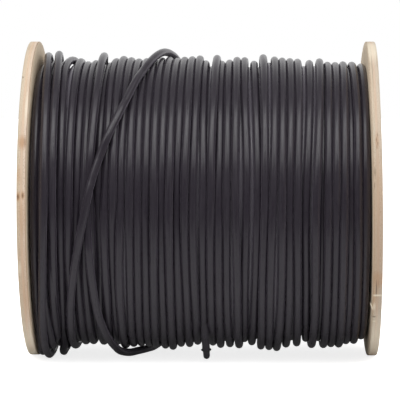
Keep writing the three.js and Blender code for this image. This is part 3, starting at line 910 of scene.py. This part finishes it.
# The loose stretches, each as its places along the axis, angles and lifts above the layer's crowns
CROSSING_TURN = [
    (8, 6, -9), (3, 20, -5), (-4, 36, -1), (-12, 50, 0), (-19.5, 64, 1.2), (-26, 76, 2.6),
    (-32.5, 88, 3.4), (-38, 98, 3.2), (-45.8, 110, 2.0), (-56.5, 126, 1), (-67, 141, 0), (-76, 151, 0),
    (-84, 160, 0), (-91, 170, 0), (-96.5, 181, 0), (-101.5, 192, 0), (-106, 203, 0), (-109.8, 215, 0),
    (-112, 229, 0), (-113.1, 246, -1.2), (-112.9, 262, -1.4), (-112.1, 279, -1.2), (-110.5, 295, -1.8),
    (-108, 310, -5), (-105, 322, -9),
]
SLACK_BIGHT = [
    (-92, 14, -9), (-91.8, 34, -3), (-90.8, 60, 0), (-89.5, 75, 0), (-87.6, 92, 0), (-88.4, 122, 0),
    (-90.5, 146, 0), (-92.5, 162, -2), (-94.5, 176, -7), (-94.6, 187, -5), (-93.3, 198, -0.3),
    (-91.5, 209, 0), (-88.8, 221, 1), (-84, 234, 1.8), (-77.4, 246.5, 3.2), (-71, 255.5, 4.8),
    (-65, 261.5, 4.8), (-58, 266, 2.9), (-52, 270.5, 1.9), (-46.5, 276, 1.2), (-41, 281.5, 0.8),
    (-34, 289, 0), (-25, 299, 0), (-14, 313, -2), (-5, 327, -9),
]
SLACK_TURNS = [
    (-141.2, 14, -9), (-140.8, 34, -3), (-139.8, 60, 0), (-138.6, 76, 0), (-137.0, 92, 0), (-134.2, 110, 0),
    (-132.6, 128, 0), (-131.2, 150, 0), (-131.0, 180, 0), (-133.6, 208, 1.0), (-136.1, 230, 3.6),
    (-136.3, 243, 7.2), (-135.5, 249, 8.6), (-134.6, 254, 8.4), (-134.1, 258, 6.4), (-133.8, 262, 4.6),
    (-133.6, 266, 3.2), (-133.6, 272, 1.8), (-133.6, 284, 0.8), (-133.2, 300, 0), (-132.4, 336, 0),
    (-131.8, 375, 0), (-131.2, 415, 0.6), (-129.8, 434, 1), (-127.5, 453, 1.4), (-125.6, 468, 1),
    (-124.6, 482, 0.6), (-124.1, 512, 0), (-123.9, 545, -2), (-124.4, 575, -5), (-124.6, 602, -9),
]
CABLE_END = [
    (2.6, 231, -9), (2.8, 236, -4), (3.2, 239.5, -1), (3.6, 242, 2.5), (4.1, 244.2, 6.8), (4.4, 246, 10.4),
    (4.6, 247.4, 12.9),
]
cable_piece("cable_crossing_turn", tube(*strand(CROSSING_TURN)))
cable_piece("cable_slack_bight", tube(*strand(SLACK_BIGHT)))
cable_piece("cable_slack_turns", tube(*strand(SLACK_TURNS, bridge=3)))

# The free end, squeezed a little thinner towards its rounded tip.
TIP_GIRTH = 0.86
SQUEEZED = (3.5, 6.5)
end_place, end_angle, end_radius = strand(CABLE_END)
to_tip = np.arange(len(end_place))[::-1] * ROUTE_STEP
squeeze = np.interp(to_tip, SQUEEZED, [TIP_GIRTH, 1])
cable_piece("cable_end", tube(end_place, end_angle, end_radius, pinch=squeeze))

# End tie -------------------------------------------------------------------------------------------
# A narrow strap of moulded black nylon round the cable's free end. It is drawn tight, and its two ends are
# cut short and stand off at either side.

TIE_WIDTH = 1.9
TIE_BITE = 0.9
TIE_PROUD = 0.25
TIE_EAR = 1.0
EAR_POWER = 14
EAR_TAPER = 0.55
TIE_TO_TIP = 6.4
TIE_STEPS = 72
TIE_SIDES = 12
NYLON_GRAIN = (1.1111, 1.1111, 1.1111)


def band(middle, ahead):
    """A closed ring round the cable's end: an ellipse carried once round the cable's axis.

    Its outer side is drawn out into two thin ears, by a high power of |cos t|, where t goes once round.
    """
    across = np.cross(ahead, [1, 0, 0])
    across /= np.linalg.norm(across)
    sideways = np.cross(across, ahead)
    t = np.linspace(0, TURN, TIE_STEPS + 1)[:, None, None]
    u = np.linspace(0, -TURN, TIE_SIDES + 1)[None, :, None]
    ear = np.abs(np.cos(t)) ** EAR_POWER
    inner, outer = CABLE_RADIUS - TIE_BITE, CABLE_RADIUS + TIE_PROUD + TIE_EAR * ear
    out = (inner + outer) / 2 + (outer - inner) / 2 * np.cos(u)
    along = TIE_WIDTH / 2 * (1 - EAR_TAPER * ear) * np.sin(u)
    return middle + out * (np.cos(t) * sideways + np.sin(t) * across) + along * ahead


# Moulded nylon: black, with a soft sheen and a slightly uneven skin.
nylon, tree = material("black nylon tie")
position = add(tree, "TexCoord")["Object"]
nylon_at = add(tree, "Mapping", {"Vector": position, "Scale": spaced(NYLON_GRAIN)})["Vector"]
uneven = add(tree, "TexNoise", {"Vector": nylon_at, "Scale": 1, "Detail": 2})["Fac"]
moulded = add(tree, "Mix", {0: uneven, 6: "#1C1A1C", 7: "#2E2B2D"}, data_type="RGBA")[2]
nylon_skin = add(tree, "Bump", {"Strength": 0.15, "Distance": 0.0001, "Height": uneven})["Normal"]
strap = add(tree, "BsdfPrincipled", {"Base Color": moulded, "Roughness": 0.45, "IOR": 1.53,
                                     "Normal": nylon_skin})
add(tree, "OutputMaterial", {"Surface": strap["BSDF"]})

end_points = polar(end_place, np.radians(end_angle), end_radius)
tied = len(end_points) - 1 - round(TIE_TO_TIP / ROUTE_STEP)
pull = end_points[tied + 1] - end_points[tied - 1]
tie = skin("cable_end_tie", band(end_points[tied], pull / np.linalg.norm(pull)))
dress(tie, nylon, "cable_jacket", "cable")

# Camera, floor and lights --------------------------------------------------------------------------
# A pale floor and plain soft studio light: three tall softboxes high in front, of which the middle one is
# narrow and the brightest, a bright sweep behind and overhead, and a darker room behind the camera.

camera_data = bpy.data.cameras.new("camera")
camera = placed("camera", camera_data)
bpy.context.scene.camera = camera
camera_data.lens = 207
camera_data.clip_end = 50
CAMERA_PLACE = Vector(np.array([39.46, -2051.5, 143.46]) * MM + DRUM_MIDDLE)
AIM = Vector(np.array([-2.35, 0, -1.57]) * MM + DRUM_MIDDLE)
camera.location = CAMERA_PLACE
camera.rotation_euler = (AIM - CAMERA_PLACE).to_track_quat("-Z", "Y").to_euler()


def softbox(name, azimuth, elevation, distance, size, power):
    """A rectangular lamp that faces the drum's middle, from an azimuth and an elevation in degrees."""
    a, e = np.radians([azimuth, elevation])
    way = Vector((np.sin(a) * np.cos(e), -np.cos(a) * np.cos(e), np.sin(e)))
    data = bpy.data.lights.new(name, "AREA")
    data.shape = "RECTANGLE"
    data.size, data.size_y = size
    data.energy = power
    lamp = placed(name, data)
    lamp.location = Vector(DRUM_MIDDLE) + way * distance
    lamp.rotation_euler = way.to_track_quat("Z", "Y").to_euler()


softbox("softbox_left", -48, 50, 1.4, (0.6, 1.1), 4.6)
softbox("softbox_right", 48, 50, 1.4, (0.6, 1.1), 4.6)
softbox("softbox_above", 0, 54, 1.6, (0.4, 1.0), 5.2)

FLOOR_RADIUS = 6
FLOOR_SIDES = 64
round_floor = np.arange(FLOOR_SIDES) * TURN / FLOOR_SIDES
floor_points = FLOOR_RADIUS * np.stack([np.cos(round_floor), np.sin(round_floor), 0 * round_floor], -1)
floor_mesh = bpy.data.meshes.new("floor")
floor_mesh.from_pydata(floor_points.tolist(), [], [tuple(range(FLOOR_SIDES))])
floor = placed("floor", floor_mesh)

def rays(tree):
    """Whether a ray is a glossy one, and whether the camera sees where it ends, straight or through glass."""
    path = add(tree, "LightPath")
    straight, through = path["Is Camera Ray"], path["Is Transmission Ray"]
    return path["Is Glossy Ray"], add(tree, "Math", {0: straight, 1: through}, operation="MAXIMUM")["Value"]


# A matt pale floor, whose own glow rises to plain white away from the drum. In gloss it shows a painted glow
# in place of its own shading: painted light just in front of the drum, where the lamps reach it, fading
# further out, and painted shadow, dark, under and behind the drum.
floor_paint, tree = material("pale matt floor")
glossy, seen = rays(tree)
spot = add(tree, "TexCoord")["Object"]
away = add(tree, "VectorMath", {0: spot}, operation="LENGTH")["Value"]
rising = add(tree, "MapRange", {"Value": away, "From Min": 0.2, "From Max": 0.9, "To Min": 0.8})["Result"]
glow = add(tree, "Math", {0: seen, 1: rising}, operation="MULTIPLY")["Value"]
depth = add(tree, "SeparateXYZ", {0: spot})["Y"]
# Painted shadow of the drum and painted light in front of it, seen only in gloss.
painted_shadow_near_drum = add(tree, "MapRange", {"Value": depth, "From Min": -0.12, "From Max": -0.04,
                                   "To Min": 1, "To Max": 0.12})["Result"]
far_in_front = add(tree, "MapRange", {"Value": depth, "From Min": -0.62, "From Max": -0.22,
                                      "To Min": 0.08, "To Max": 0.65})["Result"]
painted_light_in_gloss = add(tree, "Math", {0: painted_shadow_near_drum, 1: far_in_front}, operation="MULTIPLY")["Value"]
matt = add(tree, "BsdfDiffuse", {"Color": "#F2F2F2"})["BSDF"]
shine = add(tree, "Emission", {"Color": "#FFFFFF", "Strength": glow})["Emission"]
plain = add(tree, "AddShader", {0: matt, 1: shine})["Shader"]
in_gloss = add(tree, "Emission", {"Color": "#FFFFFF", "Strength": painted_light_in_gloss})["Emission"]
either = add(tree, "MixShader", {0: glossy, 1: plain, 2: in_gloss})["Shader"]
add(tree, "OutputMaterial", {"Surface": either})
floor_paint.cycles.emission_sampling = "NONE"
floor_mesh.materials.append(floor_paint)

# The studio: plain white to the camera, and in gloss white behind, grey overhead and dark in front. Its soft
# light on the object is the same from all sides.
AMBIENT = 0.62
world = bpy.data.worlds.new("studio")
bpy.context.scene.world = world
world.cycles.sampling_method = "NONE"
world.use_nodes = True
tree = world.node_tree
tree.nodes.clear()
glossy, seen = rays(tree)
way = add(tree, "SeparateXYZ", {0: add(tree, "TexCoord")["Generated"]})
overhead = add(tree, "MapRange", {"Value": way["Y"], "From Min": -0.95, "From Max": 0,
                                  "To Min": 0.06, "To Max": 0.3})["Result"]
behind = add(tree, "MapRange", {"Value": way["Y"], "From Min": 0.45, "From Max": 0.95,
                                "To Max": 0.74})["Result"]
sweep = add(tree, "Math", {0: overhead, 1: behind}, operation="ADD")["Value"]
gloss = add(tree, "Mix", {0: glossy, 2: AMBIENT, 3: sweep})[0]
strength = add(tree, "Mix", {0: seen, 2: gloss, 3: 1})[0]
background = add(tree, "Background", {"Color": "#FFFFFF", "Strength": strength})["Background"]
add(tree, "OutputWorld", {"Surface": background})

bpy.context.scene.view_settings.view_transform = "Standard"
